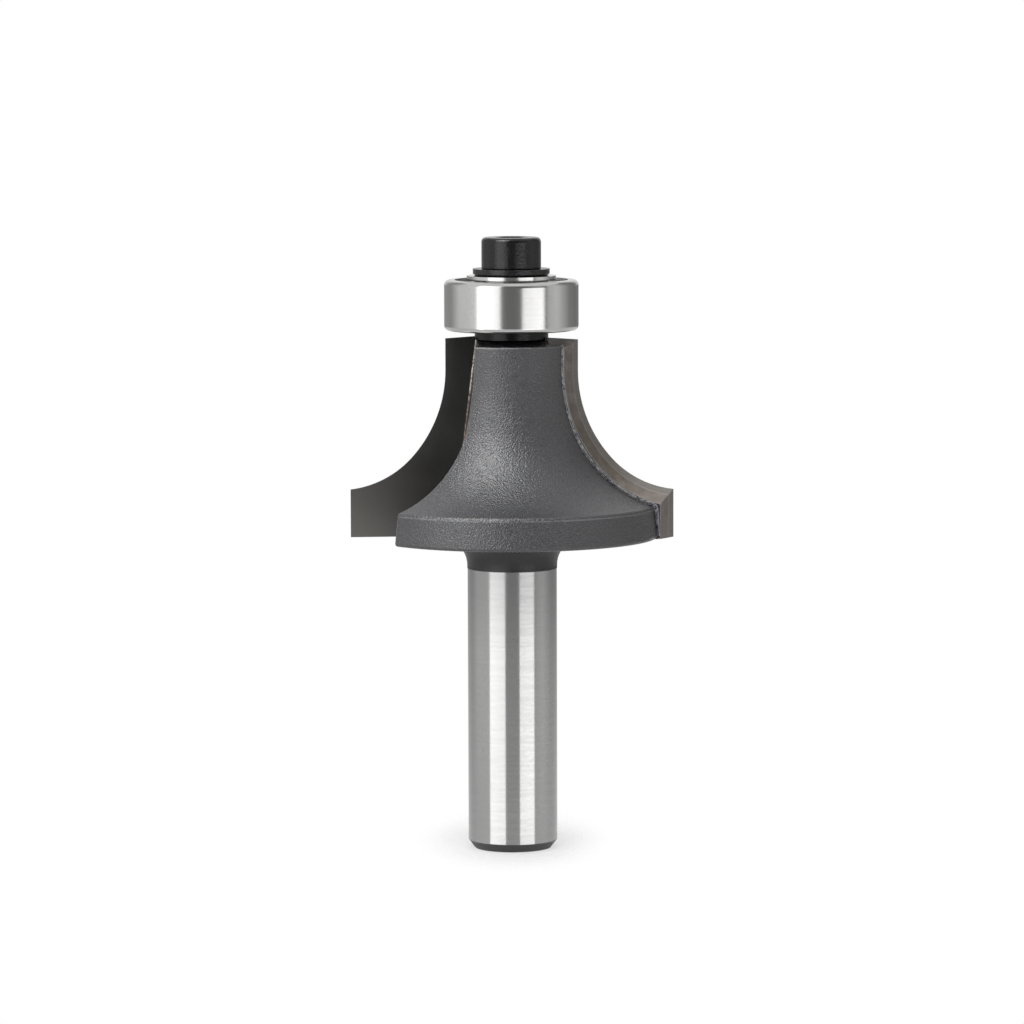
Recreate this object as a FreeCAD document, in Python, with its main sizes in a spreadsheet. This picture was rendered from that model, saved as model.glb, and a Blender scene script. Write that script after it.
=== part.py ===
import FreeCAD, Part
import math
import os
import Sketcher

# Two-flute rounding-over router bit with a guide bearing on its nose.
# It stands on the end of its shank. Z is the axis, the origin is the centre of that end,
# and the right-hand wing points along +X. Seen from above, the bit turns anticlockwise.

DRIVING = {
    # Shank and neck
    "shank_diameter": 12.7,
    "shank_length": 40.1,
    "shank_chamfer_in": 0.9,
    "shank_chamfer_up": 1.2,
    "neck_step": 0.05,
    "neck_length": 4.4,
    "neck_fillet": 4.0,
    # Flange and flared core
    "rim_setback": 2.05,
    "ridge_drop": 2.24,
    "rim_taper": 0.5,
    "rim_round": 0.45,
    "core_length": 27.55,
    "core_setback": 0.975,
    "core_straight": 3.65,
    "core_upper_radius": 28.4,
    "core_blend_angle": 17.2,
    "core_top_rise": 0.55,
    "core_rim_round": 0.3,
    # Slots that hold the tips and clear the chips
    "slot_end_top": 4.57,
    "slot_end_bottom": 8.87,
    "slot_end_lean": 2.4,
    "gullet_width_top": 8.37,
    "gullet_width_bottom": 10.29,
    "gullet_angle": 23.2,
    "gullet_root_radius": 1.5,
    "slot_overrun": 8.0,
    # Carbide tips and their braze
    "cutting_diameter": 45.9,
    "hook_angle": 5.0,
    "rake_offset": 2.3,
    "tip_thickness": 3.0,
    "tip_proud": 0.15,
    "tip_rim_height": 6.84,
    "tip_top_slope": 3.8,
    "cove_straight": 4.45,
    "cove_upper_radius": 18.55,
    "cove_blend_angle": 42.6,
    "side_relief": 2.2,
    "top_relief": 1.0,
    "seat_gap": 0.1,
    "braze_thickness": 0.15,
    "braze_inset": 0.45,
    # Guide bearing
    "bearing_bore": 6.35,
    "bearing_diameter": 19.05,
    "bearing_width": 7.144,
    "bearing_corner": 0.7,
    "bore_corner": 0.3,
    "ball_diameter": 3.175,
    "race_conformity": 1.04,
    "race_depth": 0.53,
    "race_clearance": 0.03,
    "shield_seat_depth": 0.6,
    "shield_recess": 0.45,
    "shield_thickness": 0.25,
    "shield_dish": 0.2,
    "shield_gap": 0.2,
    "cage_thickness": 0.25,
    "cage_width": 1.3,
    "cage_pocket_gap": 0.08,
    # Spigot, spacer, rings and screw
    "slip_clearance": 0.02,
    "spigot_shortfall": 0.35,
    "spigot_chamfer": 0.4,
    "spacer_height": 1.4,
    "spacer_setback": 0.04,
    "spacer_chamfer": 0.2,
    "shim_diameter": 12.64,
    "shim_thickness": 0.6,
    "washer_diameter": 10.9,
    "washer_thickness": 0.98,
    "washer_chamfer": 0.3,
    "washer_bore_gap": 0.1,
    "thread_diameter": 4.0,
    "thread_clearance": 0.02,
    "screw_length": 13.0,
    "hole_spare_depth": 1.5,
    "head_diameter": 8.45,
    "head_height": 4.43,
    "head_round": 0.6,
    "head_foot_round": 0.15,
    "hex_flats": 4.0,
    "hex_depth": 2.6,
}

BALL_COUNT = 8
FLUTE_COUNT = 2

BODY_FORMULAS = {
    # Heights up the axis
    "flange_z": "shank_length + neck_length",
    "core_rim_z": "flange_z + core_length",
    "core_top_z": "core_rim_z + core_top_rise",
    "tip_corner_z": "flange_z + tip_rim_height",
    "tip_top_z": "core_top_z + tip_proud",
    "ridge_z": "tip_corner_z - ridge_drop",
    "bearing_z": "core_top_z + spacer_height",
    "bearing_mid_z": "bearing_z + bearing_width / 2",
    "bearing_top_z": "bearing_z + bearing_width",
    "shim_top_z": "bearing_top_z + shim_thickness",
    "washer_top_z": "shim_top_z + washer_thickness",
    "head_top_z": "washer_top_z + head_height",
    "spigot_top_z": "bearing_top_z - spigot_shortfall",
    "spigot_chamfer_z": "spigot_top_z - spigot_chamfer",
    "screw_tip_z": "washer_top_z - screw_length",
    # Turned outline of the cutter body
    "shank_radius": "shank_diameter / 2",
    "shank_end_radius": "shank_radius - shank_chamfer_in",
    "neck_radius": "shank_radius + neck_step",
    "neck_fillet_z": "flange_z - neck_fillet",
    "neck_fillet_radius": "neck_radius + neck_fillet",
    "guide_radius": "bearing_diameter / 2",
    "cutting_radius": "cutting_diameter / 2",
    "rim_radius": "cutting_radius - rim_setback",
    "ridge_radius": "rim_radius - rim_taper",
    "core_radius": "guide_radius - core_setback",
    "core_arc_z": "core_rim_z - core_straight",
    "core_blend_in": "core_radius + core_upper_radius * (1 - cos(core_blend_angle))",
    "core_blend_z": "core_arc_z - core_upper_radius * sin(core_blend_angle)",
    "core_span_out": "ridge_radius - core_blend_in",
    "core_span_z": "ridge_z - core_blend_z",
    "core_lower_radius": "(core_span_out ^ 2 + core_span_z ^ 2) / 2"
                         " / (core_span_out * cos(core_blend_angle) + core_span_z * sin(core_blend_angle))",
    "spigot_radius": "bearing_bore / 2 - slip_clearance",
    "spigot_end_radius": "spigot_radius - spigot_chamfer",
    # Slots, in the plane of the rake face: along it, and square to it
    "seat_depth": "tip_thickness + braze_thickness",
    "slot_reach": "cutting_radius + slot_overrun",
    "slot_slope": "(slot_end_bottom - slot_end_top) / (bearing_z - shank_length)",
    "root_run": "gullet_root_radius / tan((90 + gullet_angle + slot_end_lean) / 2)",
    "rake_base_x": "rake_offset * sin(hook_angle)",
    "rake_base_y": "-rake_offset * cos(hook_angle)",
}

TIP_FORMULAS = {
    # Rake face of a tip: distance out along the face, and height
    "tip_out": "sqrt(cutting_radius ^ 2 - rake_offset ^ 2)",
    "tip_waist": "sqrt(guide_radius ^ 2 - rake_offset ^ 2)",
    "tip_upper_radius": "cove_upper_radius",
    "cove_z": "tip_top_z - cove_straight",
    "tip_blend_out": "tip_waist + cove_upper_radius * (1 - cos(cove_blend_angle))",
    "tip_blend_z": "cove_z - cove_upper_radius * sin(cove_blend_angle)",
    "tip_span_out": "tip_out - tip_blend_out",
    "tip_span_z": "tip_corner_z - tip_blend_z",
    "tip_lower_radius": "(tip_span_out ^ 2 + tip_span_z ^ 2) / 2"
                        " / (tip_span_out * cos(cove_blend_angle) + tip_span_z * sin(cove_blend_angle))",
    "cove_centre_out": "tip_blend_out + tip_lower_radius * cos(cove_blend_angle)",
    "cove_centre_z": "tip_blend_z + tip_lower_radius * sin(cove_blend_angle)",
    "tip_inner_top": "slot_end_top + slot_slope * (bearing_z - tip_top_z) + seat_gap",
    "tip_inner_bottom": "slot_end_top + slot_slope * (bearing_z - flange_z) + seat_gap",
    "tip_peak_z": "tip_top_z + (tip_waist - tip_inner_top) * tan(tip_top_slope)",
    # Tops of the back face and of the braze behind it
    "back_top_z": "tip_top_z - top_relief",
    "back_peak_z": "tip_peak_z - top_relief",
    "braze_setback": "side_relief + braze_inset",
    "braze_top_z": "back_top_z - braze_inset",
    "braze_peak_z": "back_peak_z - braze_inset",
}

BEARING_FORMULAS = {
    # Rings, balls, cage and shields
    "bore_radius": "bearing_bore / 2",
    "pitch_radius": "(bearing_bore + bearing_diameter) / 4",
    "ball_radius": "ball_diameter / 2",
    "race_radius": "ball_radius * race_conformity",
    "inner_groove": "pitch_radius - ball_radius - race_clearance",
    "outer_groove": "pitch_radius + ball_radius + race_clearance",
    "inner_shoulder": "inner_groove + race_depth",
    "outer_shoulder": "outer_groove - race_depth",
    "race_half": "sqrt(race_radius ^ 2 - (race_radius - race_depth) ^ 2)",
    "race_low_z": "bearing_mid_z - race_half",
    "race_high_z": "bearing_mid_z + race_half",
    "shield_seat": "outer_shoulder + shield_seat_depth",
    "shield_span": "bearing_width / 2 - shield_recess - shield_dish - shield_thickness",
    "shield_ledge_low_z": "bearing_mid_z - shield_span",
    "shield_ledge_high_z": "bearing_mid_z + shield_span",
    "shield_bore": "inner_shoulder + shield_gap",
    "shield_step": "outer_shoulder - shield_dish",
    "shield_step_in": "shield_step - shield_dish",
    "shield_rim_top": "shield_span + shield_thickness",
    "shield_dish_under": "shield_span + shield_dish",
    "shield_dish_top": "shield_rim_top + shield_dish",
    "cage_inner": "pitch_radius - cage_width / 2",
    "cage_outer": "pitch_radius + cage_width / 2",
    "cage_pocket": "ball_radius + cage_pocket_gap",
    "cage_dome": "cage_pocket + cage_thickness",
    "cage_trim": "cage_outer + cage_dome * 2",
    # Spacer, rings and screw
    "spacer_radius": "inner_shoulder - spacer_setback",
    "spacer_foot": "spacer_radius - spacer_chamfer",
    "spacer_foot_z": "core_top_z + spacer_chamfer",
    "shim_radius": "shim_diameter / 2",
    "washer_radius": "washer_diameter / 2",
    "washer_foot": "washer_radius - washer_chamfer",
    "washer_foot_z": "shim_top_z + washer_chamfer",
    "thread_radius": "thread_diameter / 2",
    "washer_bore": "thread_radius + washer_bore_gap",
    "hole_diameter": "thread_diameter + thread_clearance * 2",
    "hole_depth": "spigot_top_z - screw_tip_z + hole_spare_depth",
    "head_radius": "head_diameter / 2",
    "hex_corner": "hex_flats / sqrt(3)",
    "hex_side": "hex_corner / 2",
    "hex_half": "hex_flats / 2",
}


def slot_formulas(end):
    """Corners of the slot at its top or bottom section, with the gullet's root rounded."""
    width = f"gullet_width_{end}"
    return {
        f"seat_end_{end}": f"slot_end_{end} - seat_depth * tan(slot_end_lean)",
        f"gullet_end_{end}": f"slot_end_{end} + {width} * tan(slot_end_lean)",
        f"gullet_mouth_{end}": f"{width} + (slot_reach - gullet_end_{end}) * tan(gullet_angle)",
        f"root_wall_out_{end}": f"gullet_end_{end} + root_run * cos(gullet_angle)",
        f"root_wall_up_{end}": f"{width} + root_run * sin(gullet_angle)",
        f"root_end_out_{end}": f"gullet_end_{end} - root_run * sin(slot_end_lean)",
        f"root_end_up_{end}": f"{width} - root_run * cos(slot_end_lean)",
    }


def setback_formulas(stage, setback):
    """The tip's outline set back square to its cutting edge, with the same arc centres."""
    return {
        f"{stage}_out": f"tip_out - {setback}",
        f"{stage}_waist": f"tip_waist - {setback}",
        f"{stage}_upper_radius": f"tip_upper_radius + {setback}",
        f"{stage}_lower_radius": f"tip_lower_radius + {setback}",
        f"{stage}_blend_out": f"tip_blend_out - {setback} * cos(cove_blend_angle)",
        f"{stage}_blend_z": f"tip_blend_z - {setback} * sin(cove_blend_angle)",
        f"{stage}_corner_z": f"cove_centre_z - sqrt({stage}_lower_radius ^ 2"
                             f" - (cove_centre_out - {stage}_out) ^ 2)",
    }


def worked_out_sizes():
    """Every size that follows from the driving ones, each after those it uses."""
    sizes = {**BODY_FORMULAS, **slot_formulas("top"), **slot_formulas("bottom")}
    sizes.update(TIP_FORMULAS)
    sizes.update(setback_formulas("back", "side_relief"))
    sizes.update(setback_formulas("braze", "braze_setback"))
    sizes.update(BEARING_FORMULAS)
    return sizes


doc = FreeCAD.newDocument("RouterBit")
sheet = doc.addObject("Spreadsheet::Sheet", "Sizes")


def fill_sheet():
    """Write the driving sizes as plain numbers and the worked-out ones as formulas."""
    row = 1
    for name, value in DRIVING.items():
        sheet.set(f"A{row}", name)
        sheet.set(f"B{row}", str(value))
        sheet.setAlias(f"B{row}", name)
        row += 1
    for name, formula in worked_out_sizes().items():
        sheet.set(f"A{row}", name)
        sheet.setAlias(f"B{row}", name)
        sheet.set(f"B{row}", f"={formula}")
        row += 1
    doc.recompute()


def number(name):
    """The value of a sheet name; a leading minus sign turns it round."""
    if name.startswith("-"):
        return -float(sheet.get(name[1:]))
    return float(sheet.get(name))


def bound(name):
    """The expression that binds a size to a sheet name."""
    if name.startswith("-"):
        return f"-Sizes.{name[1:]}"
    return f"Sizes.{name}"


def place(corner):
    """A corner as a point; None stands for zero."""
    x = 0.0 if corner[0] is None else number(corner[0])
    y = 0.0 if corner[1] is None else number(corner[1])
    return FreeCAD.Vector(x, y, 0)


def bind_last(sketch, name):
    """Tie the constraint made last to a sheet name."""
    sketch.setExpression(f"Constraints[{sketch.ConstraintCount - 1}]", bound(name))


def arc_between(start, end, radius, turn):
    """Short arc of a radius between two points, bending left (1) or right (-1) on the way."""
    chord = end - start
    half = chord.Length / 2
    rise = math.sqrt(max(radius * radius - half * half, 0.0))
    square = FreeCAD.Vector(-chord.y, chord.x, 0).normalize()
    centre = (start + end) * 0.5 + square * (rise * turn)
    first, last = (start, end) if turn > 0 else (end, start)
    begin = math.atan2(first.y - centre.y, first.x - centre.x)
    finish = math.atan2(last.y - centre.y, last.x - centre.x)
    circle = Part.Circle(centre, FreeCAD.Vector(0, 0, 1), radius)
    return Part.ArcOfCircle(circle, begin, finish)


def draw_outline(sketch, corners):
    """Closed outline. A corner is (x, y), or (x, y, radius, turn) where an arc leaves it."""
    edges = []
    count = len(corners)
    for index, corner in enumerate(corners):
        start = place(corner)
        end = place(corners[(index + 1) % count])
        if len(corner) == 4:
            edge = sketch.addGeometry(arc_between(start, end, number(corner[2]), corner[3]), False)
            ends = (1, 2) if corner[3] > 0 else (2, 1)
            sketch.addConstraint(Sketcher.Constraint("Radius", edge, number(corner[2])))
            bind_last(sketch, corner[2])
        else:
            edge = sketch.addGeometry(Part.LineSegment(start, end), False)
            ends = (1, 2)
        edges.append((edge, ends))
    for index, corner in enumerate(corners):
        edge, ends = edges[index]
        last_edge, last_ends = edges[index - 1]
        sketch.addConstraint(Sketcher.Constraint("Coincident", last_edge, last_ends[1], edge, ends[0]))
        fix_point(sketch, edge, ends[0], corner)


def fix_point(sketch, edge, end, corner):
    """Hold one end of an edge at its sheet sizes, or on an axis where the size is None."""
    for kind, axis, name in (("DistanceX", -2, corner[0]), ("DistanceY", -1, corner[1])):
        if name is None:
            sketch.addConstraint(Sketcher.Constraint("PointOnObject", edge, end, axis))
        else:
            sketch.addConstraint(Sketcher.Constraint(kind, -1, 1, edge, end, number(name)))
            bind_last(sketch, name)


def draw_circle(sketch, radius):
    """A circle about the sketch's origin."""
    circle = Part.Circle(FreeCAD.Vector(0, 0, 0), FreeCAD.Vector(0, 0, 1), number(radius))
    edge = sketch.addGeometry(circle, False)
    sketch.addConstraint(Sketcher.Constraint("Coincident", edge, 3, -1, 1))
    sketch.addConstraint(Sketcher.Constraint("Radius", edge, number(radius)))
    bind_last(sketch, radius)


def new_body(node):
    """An empty body that carries the node's name."""
    body = doc.addObject("PartDesign::Body", node)
    body.Label = node
    return body


def origin_part(body, role):
    """A plane or an axis of the body's own origin."""
    for feature in body.Origin.OriginFeatures:
        if feature.Role == role:
            return feature
    raise ValueError(role)


def new_sketch(body, name, role, lift=None):
    """A sketch on an origin plane, lifted off it by a sheet size."""
    sketch = body.newObject("Sketcher::SketchObject", name)
    sketch.AttachmentSupport = (origin_part(body, role), [""])
    sketch.MapMode = "FlatFace"
    if lift:
        sketch.setExpression("AttachmentOffset.Base.z", bound(lift))
    return sketch


def revolve(body, corners):
    """Turn an outline of radius and height about the axis."""
    sketch = new_sketch(body, f"{body.Name}_outline", "XZ_Plane")
    draw_outline(sketch, corners)
    turned = body.newObject("PartDesign::Revolution", f"{body.Name}_turned")
    turned.Profile = sketch
    turned.ReferenceAxis = (sketch, ["V_Axis"])
    turned.Angle = 360
    doc.recompute()
    return turned


def round_rings(body, base, radius, rings):
    """Round the circular edges of a turned piece that lie at each (radius, height)."""
    names = []
    for ring_radius, height in rings:
        for index, edge in enumerate(base.Shape.Edges, start=1):
            if is_ring(edge, number(ring_radius), number(height)):
                names.append(f"Edge{index}")
    fillet = body.newObject("PartDesign::Fillet", f"{base.Name}_round")
    fillet.Base = (base, names)
    fillet.setExpression("Radius", bound(radius))
    doc.recompute()
    return fillet


def is_ring(edge, radius, height):
    """True for a full circle about the axis with this radius and height."""
    near = 1e-4
    if not edge.Closed or not isinstance(edge.Curve, Part.Circle):
        return False
    same_radius = abs(edge.Curve.Radius - radius) < near
    return same_radius and abs(edge.Curve.Center.z - height) < near


def pattern_round_axis(body, feature, count):
    """Repeat a feature evenly about the axis."""
    pattern = body.newObject("PartDesign::PolarPattern", f"{feature.Name}_pattern")
    pattern.Originals = [feature]
    pattern.Axis = (origin_part(body, "Z_Axis"), [""])
    pattern.Angle = 360
    pattern.Occurrences = count
    body.Tip = pattern
    doc.recompute()
    return pattern


def turned_ring(node, corners):
    """A simple turned piece."""
    body = new_body(node)
    revolve(body, corners)
    return body


def sit_on_rake_plane(sketch):
    """Turn a level sketch to the hook angle, with its X axis along the right rake face."""
    sketch.AttachmentOffset = FreeCAD.Placement(
        FreeCAD.Vector(0, 0, 0), FreeCAD.Rotation(FreeCAD.Vector(0, 0, 1), number("hook_angle")))
    sketch.setExpression("AttachmentOffset.Rotation.Angle", bound("hook_angle"))
    sketch.setExpression("AttachmentOffset.Base.x", bound("rake_base_x"))
    sketch.setExpression("AttachmentOffset.Base.y", bound("rake_base_y"))


def slot_section(body, name, height, end):
    """One level section of the slot: the tip's seat on one side, the chip gullet on the other."""
    sketch = new_sketch(body, name, "XY_Plane")
    sit_on_rake_plane(sketch)
    sketch.setExpression("AttachmentOffset.Base.z", bound(height))
    draw_outline(sketch, [
        (f"seat_end_{end}", "-seat_depth"),
        ("slot_reach", "-seat_depth"),
        ("slot_reach", f"gullet_mouth_{end}"),
        (f"root_wall_out_{end}", f"root_wall_up_{end}", "gullet_root_radius", 1),
        (f"root_end_out_{end}", f"root_end_up_{end}"),
    ])
    return sketch


def make_cutter_body():
    """Shank, neck, flange, flared core and spigot in one piece, with the two slots milled in."""
    body = new_body("cutter_body")
    turned = revolve(body, [
        (None, None),
        ("shank_end_radius", None),
        ("shank_radius", "shank_chamfer_up"),
        ("shank_radius", "shank_length"),
        ("neck_radius", "shank_length"),
        ("neck_radius", "neck_fillet_z", "neck_fillet", -1),
        ("neck_fillet_radius", "flange_z"),
        ("rim_radius", "flange_z"),
        ("ridge_radius", "ridge_z", "core_lower_radius", -1),
        ("core_blend_in", "core_blend_z", "core_upper_radius", -1),
        ("core_radius", "core_arc_z"),
        ("core_radius", "core_rim_z"),
        ("spacer_radius", "core_top_z"),
        ("spigot_radius", "core_top_z"),
        ("spigot_radius", "spigot_chamfer_z"),
        ("spigot_end_radius", "spigot_top_z"),
        (None, "spigot_top_z"),
    ])
    rim = round_rings(body, turned, "rim_round", [("rim_radius", "flange_z"), ("ridge_radius", "ridge_z")])
    round_rings(body, rim, "core_rim_round", [("core_radius", "core_rim_z")])
    slot = body.newObject("PartDesign::SubtractiveLoft", "slot")
    slot.Profile = slot_section(body, "slot_low", "shank_length", "bottom")
    slot.Sections = [slot_section(body, "slot_high", "bearing_z", "top")]
    slot.Ruled = True
    doc.recompute()
    pattern_round_axis(body, slot, FLUTE_COUNT)
    bore_tapped_hole(body)
    return body


def bore_tapped_hole(body):
    """The hole in the spigot that takes the cap screw."""
    sketch = new_sketch(body, "tapped_hole_centre", "XY_Plane", "spigot_top_z")
    draw_circle(sketch, "thread_radius")
    doc.recompute()
    hole = body.newObject("PartDesign::Hole", "tapped_hole")
    hole.Profile = sketch
    doc.recompute()
    hole.DepthType = "Dimension"
    hole.DrillPoint = "Angled"
    hole.setExpression("Diameter", bound("hole_diameter"))
    hole.setExpression("Depth", bound("hole_depth"))
    doc.recompute()


def turn_to_wing(body, side):
    """Stand a piece drawn in the rake plane at its wing: 0 degrees right, 180 degrees left."""
    sign = -1 if side else 1
    turn = FreeCAD.Rotation(FreeCAD.Vector(0, 0, 1), side + number("hook_angle"))
    body.Placement = FreeCAD.Placement(FreeCAD.Vector(0, 0, 0), turn)
    body.setExpression("Placement.Rotation.Angle", f"{side} + Sizes.hook_angle")
    body.setExpression("Placement.Base.x", f"{sign} * Sizes.rake_base_x")
    body.setExpression("Placement.Base.y", f"{sign} * Sizes.rake_base_y")


def tip_outline(stage):
    """Outline of a wing in the rake plane, on its face, its back or its braze layer."""
    return [
        ("tip_inner_bottom", "flange_z"),
        (f"{stage}_out", "flange_z"),
        (f"{stage}_out", f"{stage}_corner_z", f"{stage}_lower_radius", -1),
        (f"{stage}_blend_out", f"{stage}_blend_z", f"{stage}_upper_radius", -1),
        (f"{stage}_waist", "cove_z"),
        (f"{stage}_waist", f"{stage}_top_z"),
        ("tip_inner_top", f"{stage}_peak_z"),
    ]


def make_tip(node, side):
    """Carbide tip: its flat rake face, and a back face ground away to clear the cut."""
    body = new_body(node)
    front = new_sketch(body, f"{node}_rake", "XZ_Plane")
    draw_outline(front, tip_outline("tip"))
    back = new_sketch(body, f"{node}_back", "XZ_Plane", "tip_thickness")
    draw_outline(back, tip_outline("back"))
    blank = body.newObject("PartDesign::AdditiveLoft", f"{node}_blank")
    blank.Profile = front
    blank.Sections = [back]
    blank.Ruled = True
    turn_to_wing(body, side)
    doc.recompute()
    return body


def make_braze(node, side):
    """Thin layer of braze between the back of a tip and its seat."""
    body = new_body(node)
    sketch = new_sketch(body, f"{node}_outline", "XZ_Plane", "tip_thickness")
    draw_outline(sketch, tip_outline("braze"))
    layer = body.newObject("PartDesign::Pad", f"{node}_layer")
    layer.Profile = sketch
    layer.setExpression("Length", bound("braze_thickness"))
    turn_to_wing(body, side)
    doc.recompute()
    return body


def make_inner_ring():
    """Inner ring of the bearing, with the ball groove round its outside."""
    body = new_body("bearing_inner_ring")
    turned = revolve(body, [
        ("bore_radius", "bearing_z"),
        ("inner_shoulder", "bearing_z"),
        ("inner_shoulder", "race_low_z", "race_radius", -1),
        ("inner_shoulder", "race_high_z"),
        ("inner_shoulder", "bearing_top_z"),
        ("bore_radius", "bearing_top_z"),
    ])
    round_rings(body, turned, "bore_corner",
                [("bore_radius", "bearing_z"), ("bore_radius", "bearing_top_z")])
    return body


def make_outer_ring():
    """Outer ring of the bearing, with the ball groove and the two shield seats inside."""
    body = new_body("bearing_outer_ring")
    turned = revolve(body, [
        ("guide_radius", "bearing_z"),
        ("guide_radius", "bearing_top_z"),
        ("shield_seat", "bearing_top_z"),
        ("shield_seat", "shield_ledge_high_z"),
        ("outer_shoulder", "shield_ledge_high_z"),
        ("outer_shoulder", "race_high_z", "race_radius", -1),
        ("outer_shoulder", "race_low_z"),
        ("outer_shoulder", "shield_ledge_low_z"),
        ("shield_seat", "shield_ledge_low_z"),
        ("shield_seat", "bearing_z"),
    ])
    round_rings(body, turned, "bearing_corner",
                [("guide_radius", "bearing_z"), ("guide_radius", "bearing_top_z")])
    return body


def stand_at_bearing(body, upside_down):
    """Centre a piece on the bearing's middle plane, either way up."""
    turn = FreeCAD.Rotation(FreeCAD.Vector(1, 0, 0), 180 if upside_down else 0)
    body.Placement = FreeCAD.Placement(FreeCAD.Vector(0, 0, 0), turn)
    body.setExpression("Placement.Base.z", bound("bearing_mid_z"))


def make_shield(node, upside_down):
    """Pressed steel shield: its rim sits in the outer ring and its dish stands proud of the rim."""
    body = new_body(node)
    revolve(body, [
        ("shield_seat", "shield_span"),
        ("shield_seat", "shield_rim_top"),
        ("shield_step", "shield_rim_top"),
        ("shield_step_in", "shield_dish_top"),
        ("shield_bore", "shield_dish_top"),
        ("shield_bore", "shield_dish_under"),
        ("shield_step_in", "shield_dish_under"),
        ("shield_step", "shield_span"),
    ])
    stand_at_bearing(body, upside_down)
    return body


def make_cage_half(node, upside_down):
    """Half of the pressed ribbon cage: a flat ring with a dome over each ball."""
    body = new_body(node)
    flat = new_sketch(body, f"{node}_flat", "XY_Plane")
    draw_circle(flat, "cage_inner")
    draw_circle(flat, "cage_outer")
    ring = body.newObject("PartDesign::Pad", f"{node}_ring")
    ring.Profile = flat
    ring.setExpression("Length", bound("cage_thickness"))
    doc.recompute()
    add_domes(body, "PartDesign::AdditiveSphere", f"{node}_dome", "cage_dome")
    add_domes(body, "PartDesign::SubtractiveSphere", f"{node}_pocket", "cage_pocket")
    trim_cage(body, node)
    stand_at_bearing(body, upside_down)
    doc.recompute()
    return body


def add_domes(body, kind, name, radius):
    """A sphere at each ball's place, added or taken away."""
    dome = body.newObject(kind, name)
    dome.setExpression("Radius", bound(radius))
    dome.AttachmentSupport = (origin_part(body, "XY_Plane"), [""])
    dome.MapMode = "FlatFace"
    dome.setExpression("AttachmentOffset.Base.x", bound("pitch_radius"))
    doc.recompute()
    pattern_round_axis(body, dome, BALL_COUNT)


def trim_cage(body, node):
    """Cut the domes to the ribbon's width, and off at the cage's middle plane."""
    below = new_sketch(body, f"{node}_below", "XY_Plane")
    draw_circle(below, "cage_trim")
    cut_below = body.newObject("PartDesign::Pocket", f"{node}_cut_below")
    cut_below.Profile = below
    cut_below.Type = "ThroughAll"
    outside = new_sketch(body, f"{node}_outside", "XY_Plane")
    draw_circle(outside, "cage_outer")
    draw_circle(outside, "cage_trim")
    cut_outside = body.newObject("PartDesign::Pocket", f"{node}_cut_outside")
    cut_outside.Profile = outside
    cut_outside.Type = "ThroughAll"
    cut_outside.Midplane = True
    inside = new_sketch(body, f"{node}_inside", "XY_Plane")
    draw_circle(inside, "cage_inner")
    cut_inside = body.newObject("PartDesign::Pocket", f"{node}_cut_inside")
    cut_inside.Profile = inside
    cut_inside.Type = "ThroughAll"
    cut_inside.Midplane = True
    doc.recompute()


def make_balls():
    """The bearing's balls, evenly spaced on the pitch circle."""
    balls = []
    for index in range(BALL_COUNT):
        angle = 360.0 * index / BALL_COUNT
        ball = doc.addObject("Part::Sphere", f"bearing_ball_{index + 1}")
        ball.Label = f"bearing_ball_{index + 1}"
        ball.setExpression("Radius", bound("ball_radius"))
        ball.setExpression("Placement.Base.x", f"Sizes.pitch_radius * cos({angle})")
        ball.setExpression("Placement.Base.y", f"Sizes.pitch_radius * sin({angle})")
        ball.setExpression("Placement.Base.z", bound("bearing_mid_z"))
        balls.append(ball)
    return balls


def make_spacer():
    """Collar that holds the bearing's inner ring off the core."""
    return turned_ring("bearing_spacer", [
        ("bore_radius", "core_top_z"),
        ("spacer_foot", "core_top_z"),
        ("spacer_radius", "spacer_foot_z"),
        ("spacer_radius", "bearing_z"),
        ("bore_radius", "bearing_z"),
    ])


def make_shim():
    """Bright ring that presses on the bearing's inner ring."""
    return turned_ring("shim_ring", [
        ("washer_bore", "bearing_top_z"),
        ("shim_radius", "bearing_top_z"),
        ("shim_radius", "shim_top_z"),
        ("washer_bore", "shim_top_z"),
    ])


def make_washer():
    """Washer under the screw head, with its lower edge chamfered."""
    return turned_ring("screw_washer", [
        ("washer_bore", "shim_top_z"),
        ("washer_foot", "shim_top_z"),
        ("washer_radius", "washer_foot_z"),
        ("washer_radius", "washer_top_z"),
        ("washer_bore", "washer_top_z"),
    ])


def make_cap_screw():
    """Socket cap screw that clamps the stack to the spigot."""
    body = new_body("cap_screw")
    turned = revolve(body, [
        (None, "screw_tip_z"),
        ("thread_radius", "screw_tip_z"),
        ("thread_radius", "washer_top_z"),
        ("head_radius", "washer_top_z"),
        ("head_radius", "head_top_z"),
        (None, "head_top_z"),
    ])
    top = round_rings(body, turned, "head_round", [("head_radius", "head_top_z")])
    round_rings(body, top, "head_foot_round", [("head_radius", "washer_top_z")])
    socket = new_sketch(body, "hex_socket", "XY_Plane", "head_top_z")
    draw_outline(socket, [
        ("hex_corner", None),
        ("hex_side", "hex_half"),
        ("-hex_side", "hex_half"),
        ("-hex_corner", None),
        ("-hex_side", "-hex_half"),
        ("hex_side", "-hex_half"),
    ])
    recess = body.newObject("PartDesign::Pocket", "hex_recess")
    recess.Profile = socket
    recess.setExpression("Length", bound("hex_depth"))
    doc.recompute()
    return body


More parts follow.
